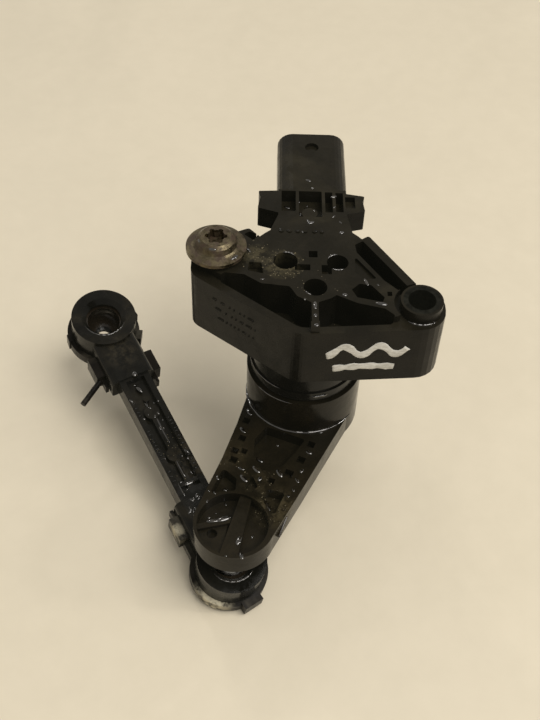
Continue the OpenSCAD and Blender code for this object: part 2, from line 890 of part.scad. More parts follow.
// Block that locks a clip against one side of the rod's shoulder, with a thin nose
module clip_side_block(from_x, side) {
    inner = neck_width / 2 + eps;
    leg_start = 6.6;
    block_bottom = clip_band_bottom + 1;
    block_end = from_x + clip_block.x;
    mirror([0, side < 0 ? 1 : 0, 0]) {
        box_between([from_x, inner, block_bottom],
            [block_end, inner + clip_block.y, block_bottom + clip_block.z]);
        box_between([block_end - lap, inner, block_bottom],
            [block_end + clip_nose.x, inner + clip_nose.y, block_bottom + clip_nose.z]);
        box_between([leg_start, inner, clip_band_bottom],
            [from_x + 1, inner + clip_thickness, clip_band_bottom + clip_band_height]);
    }
}

module near_socket_clip() {
    color("#34312b")
        on_link() {
            clip_band([[187, 5.4, 2.5]]);
            clip_side_block(11.3, 1);
            clip_side_block(11.3, -1);
        }
}

// Broken tail of the far clip, standing off the rod's left side
module clip_tail() {
    root = [15, -neck_width / 2 - 1.4, clip_band_bottom + 3.4];
    translate(root)
        rotate([0, 0, -57])
            rotate([0, 90, 0])
                cylinder(r = strut_radius, h = strut_length);
}

module far_socket_clip() {
    color("#34302a")
        on_link()
            translate([link_length, 0, 0])
                rotate([0, 0, 180]) {
                    clip_band([[98, 2.2, clip_tab_reach], [-96, 2.4, 1.5], [56, 3, 2]]);
                    clip_side_block(12.6, 1);
                    clip_side_block(8.6, -1);
                    clip_tail();
                }
}

housing();
bottom_cover();
lug_sleeve_left();
lug_sleeve_right();
mounting_bolt();
circuit_board();
stator_coil();
board_components();
terminal_pins();
shaft_bush();
shaft_seal();
shaft();
retaining_clip();
rotor_carrier();
rotor_loop();
lever_arm();
hub_insert();
hub_nut();
ball_stud();
near_socket_liner();
link_rod();
near_socket_clip();
far_socket_clip();
far_socket_liner();
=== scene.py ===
"""Suspension level sensor with lever and link rod: materials, small details, light and camera."""

import json
import math
import random

import bmesh
import bpy
from mathutils import Matrix, Vector
from mathutils.bvhtree import BVHTree


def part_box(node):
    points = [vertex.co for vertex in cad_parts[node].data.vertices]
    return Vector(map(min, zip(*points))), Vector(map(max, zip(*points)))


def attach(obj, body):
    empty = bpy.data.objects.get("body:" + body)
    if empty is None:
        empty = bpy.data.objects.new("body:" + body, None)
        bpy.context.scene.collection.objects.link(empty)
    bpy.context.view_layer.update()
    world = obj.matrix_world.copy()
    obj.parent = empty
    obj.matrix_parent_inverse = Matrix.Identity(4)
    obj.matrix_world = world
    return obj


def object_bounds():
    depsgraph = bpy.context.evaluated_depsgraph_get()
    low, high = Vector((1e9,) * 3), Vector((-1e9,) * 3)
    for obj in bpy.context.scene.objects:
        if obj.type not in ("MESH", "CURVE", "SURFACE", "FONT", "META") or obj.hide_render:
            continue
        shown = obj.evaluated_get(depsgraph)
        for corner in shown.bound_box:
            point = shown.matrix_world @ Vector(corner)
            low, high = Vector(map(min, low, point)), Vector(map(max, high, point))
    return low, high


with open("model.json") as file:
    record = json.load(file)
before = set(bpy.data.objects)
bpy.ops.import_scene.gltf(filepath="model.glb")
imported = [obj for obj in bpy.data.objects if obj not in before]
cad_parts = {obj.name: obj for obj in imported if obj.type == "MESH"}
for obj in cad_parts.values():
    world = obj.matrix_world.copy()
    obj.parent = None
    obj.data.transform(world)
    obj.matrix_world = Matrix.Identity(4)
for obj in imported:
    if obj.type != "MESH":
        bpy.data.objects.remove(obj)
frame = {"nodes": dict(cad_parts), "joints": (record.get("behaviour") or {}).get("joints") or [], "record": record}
cad_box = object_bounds()
nodes = frame["nodes"]
record = frame["record"]
joints = {joint["name"]: joint for joint in frame["joints"]}
mounts = {mount["name"]: mount for mount in record["mounts"]}

MM = 0.001

# ---------------------------------------------------------------- places, from the frame

BOLT_HEAD_RISE = 5 * MM  # the bolt's crown above the housing's plateau
HUB_RISE = 11.4 * MM  # the hub's rim above the arm's upper face

housing_low = Vector(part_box("housing")[0])
arm_high = Vector(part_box("lever_arm")[1])
bolt_high = Vector(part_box("mounting_bolt")[1])
near_ball = Vector(joints["link_tilt"]["pos_m"])
far_ball = Vector(mounts["far_ball_socket"]["pos_m"])
rod_along = (far_ball - near_ball).normalized()
rod_up = Vector(mounts["far_ball_socket"]["axis"]).normalized()
rod_side = rod_up.cross(rod_along)
arm_along = Vector((near_ball.x, near_ball.y, 0)).normalized()
arm_side = Vector((-arm_along.y, arm_along.x, 0))
housing_top = bolt_high.z - BOLT_HEAD_RISE
arm_top = arm_high.z - HUB_RISE


def on_arm(along, across, z):
    """A point given in millimetres along and across the arm, at height z in metres."""
    place = arm_along * along * MM + arm_side * across * MM
    return Vector((place.x, place.y, z))


def on_rod(along, across, up):
    """A point given in millimetres along, across and above the link rod."""
    return near_ball + (rod_along * along + rod_side * across + rod_up * up) * MM


# ---------------------------------------------------------------- material building blocks

class Shader:
    """A material with one Principled shader, and short calls for the nodes that feed it."""

    def __init__(self, name):
        self.material = bpy.data.materials.new(name)
        self.material.use_nodes = True
        self.tree = self.material.node_tree
        self.tree.nodes.clear()
        output = self.tree.nodes.new("ShaderNodeOutputMaterial")
        self.principled = self.tree.nodes.new("ShaderNodeBsdfPrincipled")
        self.link(self.principled.outputs[0], output.inputs[0])
        self.place = self.tree.nodes.new("ShaderNodeTexCoord").outputs["Object"]

    def link(self, out_socket, in_socket):
        self.tree.links.new(out_socket, in_socket)

    def put(self, in_socket, value):
        """Link a socket, or write a plain value straight into the input."""
        if isinstance(value, bpy.types.NodeSocket):
            self.link(value, in_socket)
        else:
            in_socket.default_value = value

    def set(self, **values):
        """Principled inputs by name, with underscores for spaces."""
        for name, value in values.items():
            self.put(self.principled.inputs[name.replace("_", " ")], value)

    def noise(self, scale, detail=4.0, roughness=0.55, distortion=0.0, stretch=None):
        """Noise in object coordinates; stretch squeezes it along each axis."""
        texture = self.tree.nodes.new("ShaderNodeTexNoise")
        texture.inputs["Scale"].default_value = scale
        texture.inputs["Detail"].default_value = detail
        texture.inputs["Roughness"].default_value = roughness
        texture.inputs["Distortion"].default_value = distortion
        place = self.place
        if stretch:
            mapping = self.tree.nodes.new("ShaderNodeMapping")
            mapping.inputs["Scale"].default_value = stretch
            self.link(place, mapping.inputs["Vector"])
            place = mapping.outputs[0]
        self.link(place, texture.inputs["Vector"])
        return texture.outputs["Fac"]

    def ramp(self, value, low, high, start=0.0, end=1.0):
        """From start at low to end at high, eased at both ends."""
        node = self.tree.nodes.new("ShaderNodeMapRange")
        node.interpolation_type = "SMOOTHSTEP"
        for socket, number in zip(node.inputs[1:5], (low, high, start, end)):
            socket.default_value = number
        self.put(node.inputs[0], value)
        return node.outputs[0]

    def maths(self, operation, a, b):
        node = self.tree.nodes.new("ShaderNodeMath")
        node.operation = operation
        self.put(node.inputs[0], a)
        self.put(node.inputs[1], b)
        return node.outputs[0]

    def mix(self, amount, a, b):
        """Two colours; the node has its colour sockets at numbers 6 and 7, and 2 on its way out."""
        node = self.tree.nodes.new("ShaderNodeMix")
        node.data_type = "RGBA"
        self.put(node.inputs["Factor"], amount)
        self.put(node.inputs[6], a)
        self.put(node.inputs[7], b)
        return node.outputs[2]

    def facing_up(self):
        """One on a level face, nothing on a wall, minus one underneath."""
        geometry = self.tree.nodes.new("ShaderNodeNewGeometry")
        split = self.tree.nodes.new("ShaderNodeSeparateXYZ")
        self.link(geometry.outputs["Normal"], split.inputs[0])
        return split.outputs["Z"]

    def near(self, centre, radius):
        """One at the centre, falling to nothing at the radius."""
        node = self.tree.nodes.new("ShaderNodeVectorMath")
        node.operation = "DISTANCE"
        self.link(self.place, node.inputs[0])
        node.inputs[1].default_value = centre
        return self.ramp(node.outputs["Value"], radius, radius * 0.25)

    def bumps(self, *layers):
        """Bump layers as (height, distance in metres, strength), the first one underneath."""
        normal = None
        for height, distance, strength in layers:
            node = self.tree.nodes.new("ShaderNodeBump")
            node.inputs["Strength"].default_value = strength
            node.inputs["Distance"].default_value = distance
            self.link(height, node.inputs["Height"])
            if normal:
                self.link(normal, node.inputs["Normal"])
            normal = node.outputs[0]
        self.link(normal, self.principled.inputs["Normal"])


def rgb(red, green, blue):
    return (red, green, blue, 1.0)


# Dirt of four kinds; the first three also colour painted light: a highlight on the rod's far block, and the film
# that lifts the level faces of the housing and the arm
DUST_AND_SHEEN = rgb(0.15, 0.12, 0.07)
OLIVE = rgb(0.105, 0.088, 0.046)
MUD_AND_TOP_LIGHT = rgb(0.075, 0.06, 0.03)
SCUFFED = rgb(0.55, 0.5, 0.37)
# Painted light: a faint glow over every face of these materials, standing in for the light that wet walls scatter
# into deep pockets and the bore
PAINTED_GLOW = rgb(1.0, 1.0, 0.7)
POCKET_PAINTED_GLOW = 0.0028
BORE_PAINTED_GLOW = 0.0045


def moulded_plastic(name, dark, light, rough, dirt_and_sheen=(), oil=0.6, top_film_and_light=(0.0, 0.12), dust_and_light_colour=DUST_AND_SHEEN, gloss=0.3):
    """Glass-filled plastic: mottled and finely grained, with oily patches.

    Dust lies as a film on upward faces, and a raised lower end of the film is also painted light that lifts the
    level faces above the walls. Dirt and sheen patches are (centre, radius, strength), and some of them are
    painted highlights.
    """
    s = Shader(name)
    mottle = s.noise(90, 6, 0.6)
    fine = s.noise(1500, 3, 0.7)
    tone = s.maths("ADD", s.maths("MULTIPLY", mottle, 0.75), s.maths("MULTIPLY", fine, 0.25))
    colour = s.mix(s.ramp(tone, 0.36, 0.66), dark, light)
    # The film is dust, and its raised lower end is also painted light on every level face
    settled_dust_and_top_light = s.ramp(s.noise(45, 5, 0.65, 0.6), 0.5, 0.75, *top_film_and_light)
    dust_and_light_mask = s.maths("MULTIPLY", s.ramp(s.facing_up(), 0.2, 0.95), settled_dust_and_top_light)
    for centre, radius, strength in dirt_and_sheen:
        patch = s.maths("MULTIPLY", s.near(centre, radius), s.ramp(s.noise(420, 6, 0.7), 0.38, 0.6))
        dust_and_light_mask = s.maths("MAXIMUM", dust_and_light_mask, s.maths("MULTIPLY", patch, strength))
    colour = s.mix(dust_and_light_mask, colour, dust_and_light_colour)
    wet = s.ramp(s.noise(150, 3, 0.6, 0.4), oil, oil + 0.06)
    wet = s.maths("MULTIPLY", wet, s.maths("SUBTRACT", 1.0, dust_and_light_mask))
    roughness = s.ramp(s.noise(260, 4, 0.6), 0.3, 0.7, *rough)
    roughness = s.maths("ADD", roughness, s.maths("MULTIPLY", dust_and_light_mask, 0.35))
    roughness = s.maths("MULTIPLY", roughness, s.maths("SUBTRACT", 1.0, s.maths("MULTIPLY", wet, 0.7)))
    s.set(Base_Color=colour, Roughness=roughness, Specular_IOR_Level=gloss)
    # Painted light: a faint glow over the whole surface, for light scattered into the pockets
    s.set(Emission_Color=PAINTED_GLOW, Emission_Strength=POCKET_PAINTED_GLOW)
    waves = s.noise(210, 2, 0.5)
    grain = s.noise(4200, 2, 0.6)
    s.bumps((waves, 0.4 * MM, 0.25), (fine, 0.06 * MM, 0.35), (grain, 0.02 * MM, 0.4))
    return s.material


def worn_metal(name, dark, light, rough, rust=None, rust_amount=0.5, scratch=(1, 1, 1), painted_glow=0.0):
    """Metal with fine scratches, mottled tone and, where given, rust."""
    s = Shader(name)
    mottle = s.noise(500, 6, 0.65)
    lines = s.noise(900, 4, 0.6, 0.0, scratch)
    colour = s.mix(s.ramp(mottle, 0.35, 0.65), dark, light)
    metallic = 1.0
    worn = s.maths("ADD", mottle, s.maths("MULTIPLY", lines, 0.5))
    roughness = s.ramp(worn, 0.5, 1.0, *rough)
    if rust:
        edge = 1 - rust_amount
        spots = s.ramp(s.noise(380, 7, 0.7, 0.5), edge - 0.1, edge + 0.1)
        colour = s.mix(spots, colour, rust)
        roughness = s.maths("ADD", roughness, s.maths("MULTIPLY", spots, 0.3))
        metallic = s.ramp(spots, 0.0, 1.0, 1.0, 0.25)
    s.set(Base_Color=colour, Roughness=roughness, Metallic=metallic)
    # Painted light: a faint glow, where given, for light scattered into a bore
    s.set(Emission_Color=PAINTED_GLOW, Emission_Strength=painted_glow)
    s.bumps((mottle, 0.08 * MM, 0.4), (lines, 0.03 * MM, 0.3))
    return s.material


# ---------------------------------------------------------------- the materials

# Places on the housing that hold dirt, grit or marks
left_hole = Vector((-7, 1, 19)) * MM
lug_bridge = Vector((-13.5, 4, 19)) * MM
front_hole = Vector((0.8, -6.5, 19)) * MM
left_wall_middle = Vector((-18.3, -8.6, 9.5)) * MM

MATERIALS = {
    # Painted light: the raised film lifts the housing's level faces above its walls
    "housing_plastic": moulded_plastic(
        "housing_plastic", rgb(0.0032, 0.0027, 0.0019), rgb(0.0098, 0.0082, 0.0056), (0.16, 0.34),
        dirt_and_sheen=[(left_hole, 6.5 * MM, 0.6), (lug_bridge, 5 * MM, 0.45)],
        dust_and_light_colour=OLIVE, gloss=0.12, top_film_and_light=(0.045, 0.14)),
    "cover_plastic": moulded_plastic(
        "cover_plastic", rgb(0.0032, 0.003, 0.0026), rgb(0.009, 0.0082, 0.0066), (0.12, 0.26), gloss=0.18),
    # Painted light: the raised film lifts the arm's level faces
    "arm_plastic": moulded_plastic(
        "arm_plastic", rgb(0.0042, 0.0034, 0.002), rgb(0.014, 0.0108, 0.006), (0.1, 0.26),
        dirt_and_sheen=[(on_arm(38, 8, arm_top), 8 * MM, 0.5), (on_arm(28, -8, arm_top), 7 * MM, 0.2),
              (on_arm(33, 1, arm_top), 6 * MM, 0.25)],
        oil=0.57, dust_and_light_colour=MUD_AND_TOP_LIGHT, gloss=0.13, top_film_and_light=(0.038, 0.17)),
    "rod_plastic": moulded_plastic(
        "rod_plastic", rgb(0.0028, 0.0026, 0.002), rgb(0.0085, 0.0078, 0.006), (0.14, 0.32),
        # The second patch is a painted highlight on the top of the far block
        dirt_and_sheen=[(on_rod(30, -4, 3), 10 * MM, 0.12), (on_rod(67, 0, 4), 7 * MM, 0.16)],
        oil=0.57, gloss=0.16),
    "clip_plastic": moulded_plastic(
        "clip_plastic", rgb(0.0032, 0.0025, 0.002), rgb(0.011, 0.0082, 0.006), (0.2, 0.4),
        dirt_and_sheen=[(on_rod(14, 9, -1), 4 * MM, 0.9), (on_rod(-5.5, 8, -3.6), 7 * MM, 1.0)],
        dust_and_light_colour=SCUFFED, gloss=0.1),
    "liner_plastic": moulded_plastic(
        "liner_plastic", rgb(0.010, 0.0065, 0.0035), rgb(0.030, 0.020, 0.011), (0.16, 0.34), gloss=0.5),
    "bolt_steel": worn_metal(
        "bolt_steel", rgb(0.082, 0.067, 0.041), rgb(0.17, 0.143, 0.088), (0.22, 0.44),
        rust=rgb(0.046, 0.028, 0.015), rust_amount=0.48),
    # Painted light: the sleeve glows faintly so that its bore is not black
    "sleeve_steel": worn_metal(
        "sleeve_steel", rgb(0.009, 0.009, 0.007), rgb(0.024, 0.0235, 0.019), (0.35, 0.6), painted_glow=BORE_PAINTED_GLOW),
    "ball_steel": worn_metal(
        "ball_steel", rgb(0.30, 0.29, 0.27), rgb(0.5, 0.49, 0.46), (0.18, 0.35)),
    "shaft_steel": worn_metal(
        "shaft_steel", rgb(0.4, 0.4, 0.4), rgb(0.58, 0.58, 0.57), (0.15, 0.3), scratch=(1, 1, 30)),
    "bush_bronze": worn_metal(
        "bush_bronze", rgb(0.28, 0.2, 0.1), rgb(0.46, 0.35, 0.18), (0.35, 0.55)),
    "copper": worn_metal("copper", rgb(0.45, 0.22, 0.11), rgb(0.68, 0.36, 0.2), (0.25, 0.4)),
    "terminal_tin": worn_metal(
        "terminal_tin", rgb(0.5, 0.47, 0.38), rgb(0.7, 0.67, 0.58), (0.2, 0.35), scratch=(1, 30, 1)),
    "seal_rubber": moulded_plastic(
        "seal_rubber", rgb(0.006, 0.006, 0.006), rgb(0.014, 0.014, 0.014), (0.5, 0.7), oil=0.75),
    "component_black": moulded_plastic(
        "component_black", rgb(0.008, 0.008, 0.008), rgb(0.02, 0.02, 0.02), (0.4, 0.55), oil=0.8),
    "carrier_plastic": moulded_plastic(
        "carrier_plastic", rgb(0.4, 0.37, 0.3), rgb(0.58, 0.55, 0.47), (0.4, 0.55), oil=0.8),
    "board_laminate": moulded_plastic(
        "board_laminate", rgb(0.01, 0.06, 0.02), rgb(0.03, 0.12, 0.05), (0.2, 0.35), oil=0.8),
}

slot_of = {part["node"]: part["material_slot"] for part in record["subparts"]}
for name, thing in nodes.items():
    thing.data.materials.clear()
    thing.data.materials.append(MATERIALS[slot_of[name]])


# ---------------------------------------------------------------- softened edges on the mouldings

# Widths in millimetres
EDGE_WIDTHS = {
    "housing": 0.22, "bottom_cover": 0.25, "lever_arm": 0.25, "link_rod": 0.25,
    "near_socket_clip": 0.2, "far_socket_clip": 0.2, "mounting_bolt": 0.12, "lug_sleeve_right": 0.15
}
EDGE_ANGLE = math.radians(35)  # only edges that turn by more are softened


def soften(name, width):
    """Round a node's sharp edges; its mesh itself stays as the frame gives it."""
    bevel = nodes[name].modifiers.new("edge", "BEVEL")
    bevel.width = width
    bevel.segments = 2
    bevel.limit_method = "ANGLE"
    bevel.angle_limit = EDGE_ANGLE
    bevel.harden_normals = True


for name, width in EDGE_WIDTHS.items():
    soften(name, width * MM)

# ---------------------------------------------------------------- surfaces to put details on

UP = Vector((0, 0, 1))
DOWN = -UP
ABOVE = 20 * MM  # how far above a face its rays start
ABOVE_ROD = 12  # the same above the rod, in millimetres


def surface_of(name):
    """The node's own mesh as a tree for rays."""
    mesh = bmesh.new()
    mesh.from_mesh(nodes[name].data)
    tree = BVHTree.FromBMesh(mesh)
    mesh.free()
    return tree


housing_surface = surface_of("housing")
arm_surface = surface_of("lever_arm")
rod_surface = surface_of("link_rod")
bolt_surface = surface_of("mounting_bolt")


def land(tree, start, direction, lift=0.0):
    """Where a ray from start meets the surface, raised along its normal, and that normal."""
    place, normal, _, _ = tree.ray_cast(start, direction)
    if place is None:
        return None
    return place + normal * lift, normal


def across_of(normal, along):
    """A direction in the surface at right angles to the given one."""
    return normal.cross(along).normalized()


# ---------------------------------------------------------------- shapes of the small details

def close_rings(mesh, rings):
    """Walls between closed rings of vertices, and a face over each end."""
    for low, high in zip(rings, rings[1:]):
        for i in range(len(low)):
            j = (i + 1) % len(low)
            mesh.faces.new((low[i], low[j], high[j], high[i]))
    mesh.faces.new(rings[-1])
    mesh.faces.new(reversed(rings[0]))


# A pad's foot, shoulder and top: share of its height, and of its width lost at each side
PAD_LEVELS = ((-0.3, 0.0), (0.7, 0.15), (1.0, 0.35))


def add_pad(mesh, centre, normal, along, length, width, height):
    """A raised round-ended bar with sloping sides."""
    steps = 5
    side = across_of(normal, along)
    along = side.cross(normal).normalized()
    rings = []
    for rise, loss in PAD_LEVELS:
        half = width / 2 - loss * width
        ring = []
        for end in (1, -1):
            for step in range(steps + 1):
                angle = math.radians(-90 + 180 * step / steps)
                reach = end * ((length - width) / 2 + math.cos(angle) * half)
                out = end * math.sin(angle) * half
                ring.append(mesh.verts.new(centre + along * reach + side * out + normal * rise * height))
        rings.append(ring)
    close_rings(mesh, rings)


def add_blob(mesh, centre, normal, along, length, width, height, draw, lumps=0.0):
    """A flattened drop or, with lumps, a grain, half sunk in the surface."""
    side = across_of(normal, along)
    along = side.cross(normal).normalized()
    made = bmesh.ops.create_icosphere(mesh, subdivisions=2, radius=1.0)
    for vert in made["verts"]:
        grow = 1 + draw.uniform(-lumps, lumps)
        part = vert.co * grow
        flat = along * part.x * length / 2 + side * part.y * width / 2
        vert.co = centre + flat + normal * part.z * height


# A brushed band's section: share of its half width, and of its thickness
BRUSH_SECTION = ((-1, -0.5), (-0.8, 0.8), (-0.3, 1), (0.3, 1), (0.8, 0.8), (1, -0.5))


def add_stroke(mesh, tree, path, towards, widths, thickness):
    """A brushed band along a path, pressed onto the surface that lies towards a direction."""
    sections = []
    for i, point in enumerate(path):
        ahead = (path[min(i + 1, len(path) - 1)] - path[max(i - 1, 0)]).normalized()
        side = ahead.cross(towards).normalized()
        section = []
        for share, lift in BRUSH_SECTION:
            landed = land(tree, point + side * share * widths[i] / 2, towards, lift * thickness)
            section.append(mesh.verts.new(landed[0]))
        sections.append(section)
    close_rings(mesh, sections)


def finish_piece(name, mesh, material, body, smooth=True):
    """Turn the built mesh into a piece that rides on a body."""
    bmesh.ops.recalc_face_normals(mesh, faces=mesh.faces)
    data = bpy.data.meshes.new(name)
    mesh.to_mesh(data)
    mesh.free()
    for face in data.polygons:
        face.use_smooth = smooth
    data.materials.append(material)
    piece = bpy.data.objects.new(name, data)
    bpy.context.scene.collection.objects.link(piece)
    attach(piece, body)


# ---------------------------------------------------------------- materials of the details

def white_paint():
    """Streaky paint with brown stains."""
    s = Shader("brushed_paint")
    streaks = s.noise(700, 5, 0.6, 0.2, (1, 1, 3))
    stain = s.ramp(s.noise(260, 5, 0.65), 0.42, 0.72)
    colour = s.mix(s.ramp(streaks, 0.3, 0.7), rgb(0.5, 0.49, 0.45), rgb(0.72, 0.71, 0.67))
    s.set(Base_Color=s.mix(s.maths("MULTIPLY", stain, 0.45), colour, rgb(0.22, 0.2, 0.16)))
    s.set(Roughness=s.ramp(streaks, 0.3, 0.7, 0.35, 0.55))
    s.bumps((streaks, 0.1 * MM, 0.5))
    return s.material


def oily_drop():
    """Dark oil under a clear wet skin that catches the lamps."""
    s = Shader("oily_drop")
    shade = s.noise(800, 3, 0.5)
    s.set(Base_Color=s.mix(s.ramp(shade, 0.35, 0.65), rgb(0.006, 0.005, 0.0035), rgb(0.02, 0.016, 0.01)))
    s.set(Roughness=s.ramp(shade, 0.3, 0.7, 0.04, 0.12))
    s.set(Coat_Weight=1.0, Coat_Roughness=0.04, Coat_IOR=1.8)
    s.bumps((shade, 0.04 * MM, 0.3))
    return s.material


def sandy_grit():
    """Dry sand and dust."""
    s = Shader("sandy_grit")
    shade = s.noise(1300, 5, 0.6)
    s.set(Base_Color=s.mix(s.ramp(shade, 0.35, 0.65), rgb(0.035, 0.028, 0.015), rgb(0.15, 0.125, 0.07)))
    s.set(Roughness=s.ramp(shade, 0.3, 0.7, 0.6, 0.9))
    s.bumps((shade, 0.08 * MM, 0.6))
    return s.material


PAINT = white_paint()
DROP = oily_drop()
GRIT = sandy_grit()

# ---------------------------------------------------------------- painted marks on the front wall

FORWARD = Vector((0, 1, 0))
PAINT_THICKNESS = 0.07 * MM
wall_start = housing_low.y - 10 * MM


def on_front(x, z):
    """A point in front of the front wall, in millimetres."""
    return Vector((x * MM, wall_start, z * MM))


def wavy_line(share):
    return on_front(3.6 + 19 * share, 10.6 - 1.5 * math.cos(share * 4.6 * math.pi))


def straight_line(share):
    return on_front(5.4 + 14.6 * share, 4.6 + 0.5 * math.sin(share * math.pi))


def brush(mesh, draw, line, steps, width, swell, pace, waver):
    """One stroke along a line; its width in millimetres swells and wavers on the way."""
    path = [line(i / steps) for i in range(steps + 1)]
    widths = [(width + swell * math.sin(i * pace) + draw.uniform(-waver, waver)) * MM
              for i in range(steps + 1)]
    add_stroke(mesh, housing_surface, path, FORWARD, widths, PAINT_THICKNESS)


def painted_marks():
    """A long wavy stroke over a straight one, as an inspector brushes on a passed part."""
    draw = random.Random(11)
    mesh = bmesh.new()
    brush(mesh, draw, wavy_line, steps=44, width=2.2, swell=0.4, pace=0.7, waver=0.12)
    brush(mesh, draw, straight_line, steps=26, width=2.3, swell=0.3, pace=0.9, waver=0.15)
    finish_piece("inspection_paint", mesh, PAINT, "sensor")


painted_marks()

# ---------------------------------------------------------------- raised moulding marks

left_wall_in = Vector((0.62, 0.785, 0))
left_wall_along = Vector((0.785, -0.62, 0))

# The left wall's rows: heights above its middle, start, end, and each row's shift, all in millimetres
WALL_ROWS = (3.4, 0.6, -2.4)
ROW_START = -6.4
ROW_END = 6.2
ROW_SHIFT = 0.8
# The rod's rows: side, then from and to along the rod
ROD_ROWS = ((1, (47, 52)), (1, (33, 42)), (1, (26, 30)), (-1, (35, 44)), (-1, (27, 33)))
FLANGE_MIDDLE = 3.5
# The pips behind the core holes
PIPS_X = (-7.4, -5.5, -3.2, 1.2, 2.7)
PIPS_Y = 12.8


def left_wall_marks():
    """Rows of short raised bars on the left wall."""
    draw = random.Random(5)
    mesh = bmesh.new()
    for row, height in enumerate(WALL_ROWS):
        along = ROW_START + row * ROW_SHIFT
        while along < ROW_END:
            length = draw.choice((0.7, 0.7, 1.4, 2.0))
            middle = left_wall_middle + left_wall_along * (along + length / 2) * MM
            start = middle + UP * height * MM - left_wall_in * 30 * MM
            landed = land(housing_surface, start, left_wall_in)
            if landed:
                add_pad(mesh, *landed, left_wall_along, length * MM, 0.8 * MM, 0.3 * MM)
            along += length + draw.choice((0.5, 0.6, 1.1))
    finish_piece("left_wall_marks", mesh, MATERIALS["housing_plastic"], "sensor", False)


def rod_marks():
    """Short raised bars along both flanges of the rod."""
    draw = random.Random(8)
    mesh = bmesh.new()
    for side, (low, high) in ROD_ROWS:
        along = low
        while along < high:
            gap = draw.choice((0.5, 0.9)) + 0.55
            landed = land(rod_surface, on_rod(along, side * FLANGE_MIDDLE, ABOVE_ROD), -rod_up)
            if landed:
                add_pad(mesh, *landed, rod_side, 1.15 * MM, 0.42 * MM, 0.2 * MM)
            along += gap
    finish_piece("rod_marks", mesh, MATERIALS["cover_plastic"], "link")


def top_pips():
    """A row of small raised pips behind the core holes."""
    draw = random.Random(2)
    mesh = bmesh.new()
    for x in PIPS_X:
        place = Vector((x * MM, PIPS_Y * MM, housing_top))
        add_blob(mesh, place, UP, Vector((1, 0, 0)), 1.1 * MM, 0.9 * MM, 0.34 * MM, draw)
    finish_piece("top_pips", mesh, MATERIALS["cover_plastic"], "sensor")


left_wall_marks()
rod_marks()
top_pips()

# ---------------------------------------------------------------- oily drops and grit

DROP_FLATNESS = 0.22  # a drop's height by its width
GRAIN_FLATNESS = 0.35
LOOKS_BACK = 0.8  # least cosine between a face and the ray that meets it


def heading(turn):
    """A nearly level direction at an angle from the frame's X axis."""
    return Vector((math.cos(turn), math.sin(turn), 0.01))


def scatter(mesh, tree, draw, count, pick, direction, size, grain=False):
    """Drops or grains where rays from picked points meet faces that look back at them."""
    for _ in range(count):
        landed = land(tree, pick(draw), direction)
        if landed is None or landed[1].dot(direction) > -LOOKS_BACK:
            continue
        along = heading(draw.uniform(0, math.tau))
        width = draw.uniform(*size) * MM
        if grain:
            long = width * draw.uniform(1, 1.5)
            add_blob(mesh, *landed, along, long, width, width * GRAIN_FLATNESS, draw, lumps=0.3)
        else:
            long = width * draw.uniform(1.0, 2.6)
            add_blob(mesh, *landed, along, long, width, width * DROP_FLATNESS, draw)


def disc_pick(centre, radius):
    """Even draws of points above a disc."""
    def pick(draw):
        reach = radius * math.sqrt(draw.random())
        turn = draw.uniform(0, math.tau)
        return centre + Vector((reach * math.cos(turn), reach * math.sin(turn), ABOVE))
    return pick


def rod_pick(low, high, half):
    """Even draws of points above a length of the rod."""
    return lambda draw: on_rod(draw.uniform(low, high), draw.uniform(-half, half), ABOVE_ROD)


def place_glint(mesh, tree, start, direction, long, wide, turn):
    """One wet streak at a chosen place, turned in degrees from the frame's X axis."""
    landed = land(tree, start, direction)
    if landed is None:
        return
    along = heading(math.radians(turn))
    add_blob(mesh, *landed, along, long * MM, wide * MM, DROP_FLATNESS * wide * MM, random.Random(1))


# Wet streaks on the arm: along, across, length, width, direction
ARM_STREAKS = [
    (13.4, -9.6, 2.6, 1.3, -60), (19.6, -8.8, 2.4, 1.1, -50), (24.3, -1.9, 2.4, 1.3, -40),
    (26.3, 8.2, 2.2, 1.1, -50), (19.2, 9.6, 1.9, 1.1, -30), (28.3, 5.2, 2.9, 1.3, -62),
    (29.6, -0.6, 2.9, 1.3, -48), (33.4, -2.4, 2.9, 1.3, -50), (36.6, 5.6, 3.8, 1.4, -72),
    (35.8, 8.6, 1.4, 1.1, -20), (36.4, -6.2, 1.4, 1.4, -20), (26.2, -8.6, 2.6, 1.1, -60),
    (49.9, 3.6, 2.9, 1.3, 70), (45.8, -2.3, 4.1, 1.6, 20), (47.2, -4.2, 4.3, 1.1, 8)
]
# Wet streaks on the housing's top: x, y, length, width, direction
TOP_STREAKS = [
    (0.6, -8.2, 1.9, 0.8, -40), (-5.2, 0.4, 1.4, 0.8, 10), (5.8, 3.6, 2.2, 0.8, 0),
    (7.6, -0.2, 3.1, 0.8, -8), (12.8, -4.4, 2.6, 0.8, -70), (16, -11.4, 3.1, 1.1, -12),
    (7.6, -8.8, 1.4, 1.1, 0), (-16.4, -4.6, 1.2, 1.1, 30), (0.6, -15.6, 1.2, 1, 90),
    (0.8, -18.6, 1.2, 1.1, 0), (0.1, 4.8, 1.6, 0.7, -20), (0.6, -12.4, 2.6, 1, 90),
    (0.1, 16, 2, 0.9, 25), (-5.7, 25.6, 2, 0.8, -25), (-0.1, 25.3, 2.6, 0.8, 0),
    (6, 26, 1.8, 0.8, 20), (12.4, 11.8, 2.2, 0.7, -40), (7.6, 12.6, 1.4, 1, 20)
]
# Wet streaks on the bolt's head: x, y, length, width, direction
BOLT_STREAKS = [(-23.6, 0.6, 2, 0.7, -10), (-18.4, 0.4, 2.4, 0.8, 45), (-26.9, 3.4, 1.3, 0.6, 110)]
